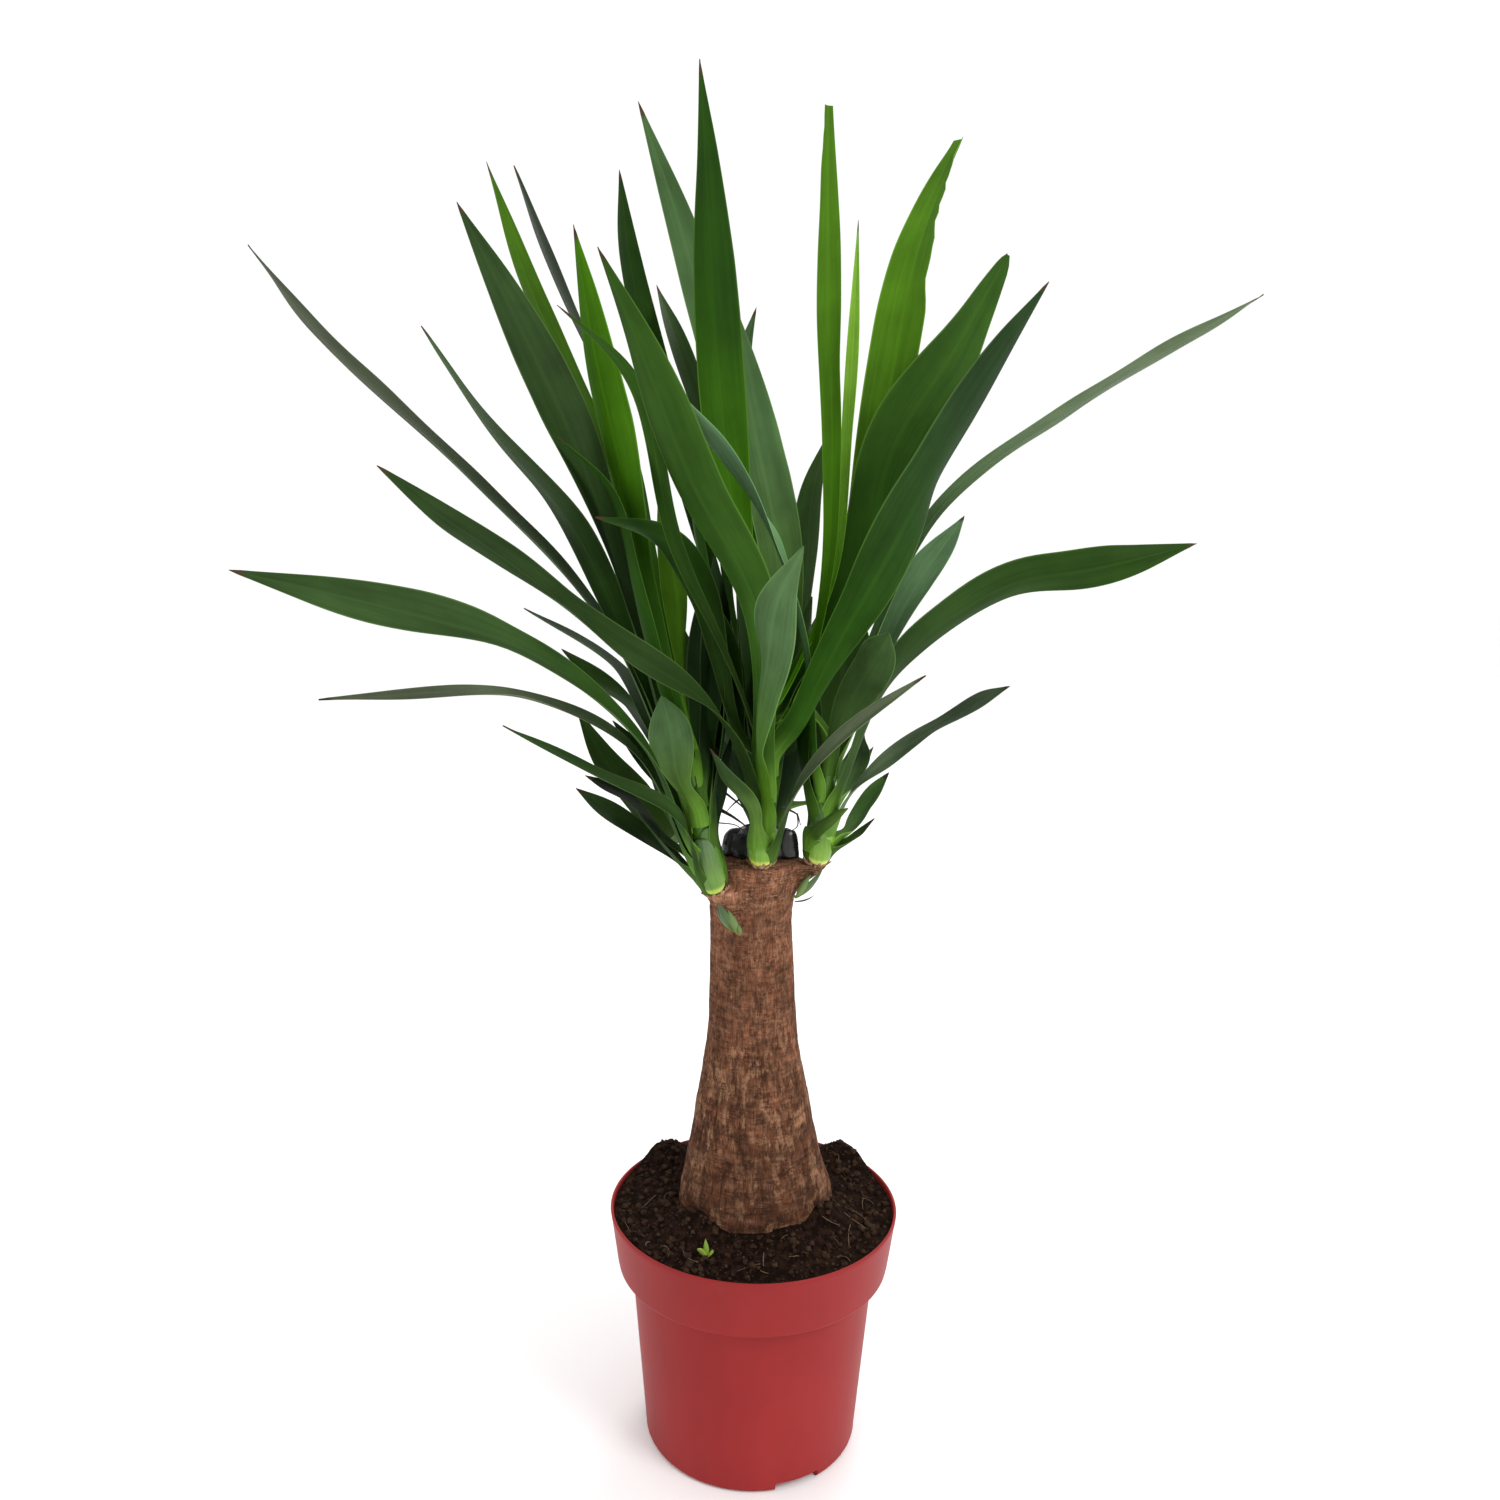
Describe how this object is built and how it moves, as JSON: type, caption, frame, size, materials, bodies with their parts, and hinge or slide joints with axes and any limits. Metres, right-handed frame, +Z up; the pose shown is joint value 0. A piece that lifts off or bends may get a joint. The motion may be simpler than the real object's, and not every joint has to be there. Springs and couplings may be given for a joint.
{
  "type": "potted yucca",
  "caption": "Yucca with a thick bare cane, flared at the foot, and a crown of long sword-shaped leaves on green shoots, in a red plastic nursery pot of soil.",
  "frame": {"origin": "centre of the pot's flat underside", "axes": "+Z up, -Y towards the pictured front, +X to its right"},
  "size_m": [0.6, 0.362, 0.7772],
  "materials": {
    "pot_plastic": "satin terracotta red",
    "peat": "loose dark peat with fibres",
    "bark": "rough brown bark with tan patches",
    "sealing_wax": "glossy black",
    "young_stem": "smooth pale yellow-green",
    "leaf": "waxy green with fine lengthwise veins",
    "bud": "smooth green"
  },
  "bodies": {
    "root": {"pot": "pot_plastic", "soil": "peat", "trunk": "bark", "wax_cap": "sealing_wax", "shoot_left": "young_stem", "shoot_centre": "young_stem", "shoot_right": "young_stem", "shoot_back": "young_stem", "bud_front": "bud", "bud_side": "bud", "soil_sprout": "bud", "leaf_left_01": "leaf", "leaf_left_02": "leaf", "leaf_left_03": "leaf", "leaf_left_04": "leaf", "leaf_left_05": "leaf", "leaf_left_06": "leaf", "leaf_left_07": "leaf", "leaf_left_08": "leaf", "leaf_left_09": "leaf", "leaf_left_10": "leaf", "leaf_left_11": "leaf", "leaf_left_12": "leaf", "leaf_left_13": "leaf", "leaf_left_14": "leaf", "leaf_left_15": "leaf", "leaf_left_16": "leaf", "leaf_left_17": "leaf", "leaf_centre_01": "leaf", "leaf_centre_02": "leaf", "leaf_centre_03": "leaf", "leaf_centre_04": "leaf", "leaf_centre_05": "leaf", "leaf_centre_06": "leaf", "leaf_centre_07": "leaf", "leaf_centre_08": "leaf", "leaf_centre_09": "leaf", "leaf_centre_10": "leaf", "leaf_centre_11": "leaf", "leaf_centre_12": "leaf", "leaf_centre_13": "leaf", "leaf_centre_14": "leaf", "leaf_right_01": "leaf", "leaf_right_02": "leaf", "leaf_right_03": "leaf", "leaf_right_04": "leaf", "leaf_right_05": "leaf", "leaf_right_06": "leaf", "leaf_right_07": "leaf", "leaf_right_08": "leaf", "leaf_right_09": "leaf", "leaf_right_10": "leaf", "leaf_right_11": "leaf", "leaf_back_01": "leaf", "leaf_back_02": "leaf", "leaf_back_03": "leaf", "leaf_back_04": "leaf", "leaf_back_05": "leaf", "leaf_back_06": "leaf", "leaf_back_07": "leaf"}
  },
  "joints": []
}
